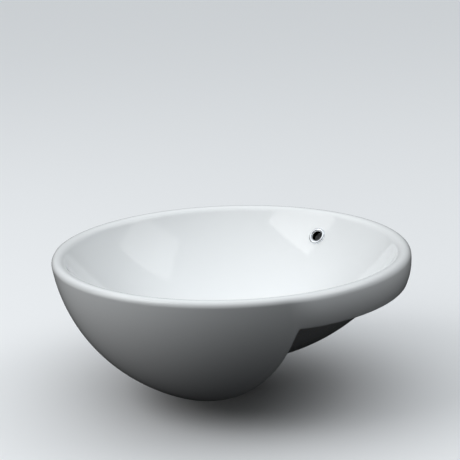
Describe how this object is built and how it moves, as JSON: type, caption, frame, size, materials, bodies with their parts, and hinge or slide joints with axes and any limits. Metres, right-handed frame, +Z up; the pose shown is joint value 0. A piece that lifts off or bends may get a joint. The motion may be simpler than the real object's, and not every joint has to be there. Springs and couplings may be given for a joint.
{
  "type": "semi recessed basin",
  "caption": "Round semi-recessed wash basin: a deep front skirt hangs before the bench, a low rim band rests on it; overflow trim and push-to-open waste.",
  "frame": {"origin": "where the upright outlet axis, which is also the axis of the round rim, meets the bench top", "axes": "+Z up; -Y out of the bench towards the user; +X to the user's right when facing the basin from the front"},
  "size_m": [0.4646, 0.4623, 0.192],
  "materials": {
    "glazed_ceramic": "glossy white glaze on vitreous china",
    "chrome_plate": "polished chrome plate on brass",
    "black_rubber": "matt moulded rubber",
    "white_nylon": "matt moulded nylon",
    "plain_brass": "turned brass",
    "spring_steel": "drawn stainless steel"
  },
  "bodies": {
    "basin_set": {"basin": "glazed_ceramic", "overflow_ring": "chrome_plate", "overflow_grip": "black_rubber", "waste_body": "chrome_plate", "flange_gasket": "black_rubber", "tapered_washer": "black_rubber", "slip_washer": "white_nylon", "backnut": "plain_brass", "cartridge_barrel": "plain_brass", "barrel_cover": "plain_brass", "track_pin": "spring_steel", "barrel_locknut": "plain_brass", "return_spring": "spring_steel"},
    "plug": {"plug_cap": "chrome_plate", "plug_seal": "black_rubber", "plug_stem": "plain_brass", "cap_jam_nut": "plain_brass", "plunger": "plain_brass", "thrust_washer": "white_nylon", "retaining_clip": "spring_steel"},
    "cam": {"cam_sleeve": "white_nylon"}
  },
  "joints": [
    {"name": "plug_slide", "type": "slide", "parent": "basin_set", "child": "plug", "axis": [0, 0, 1], "range_m": [-0.009, 0], "stiffness_N_per_m": 300, "springref_m": 0.015, "deforming": ["return_spring"]},
    {"name": "cam_turn", "type": "hinge", "parent": "plug", "child": "cam", "pos_m": [0, 0, -0.108], "axis": [0, 0, 1], "range_deg": [0, 45]}
  ],
  "couplings": [
    {"joint": "cam_turn", "follows": "plug_slide", "rad_per_m": -87.266}
  ]
}
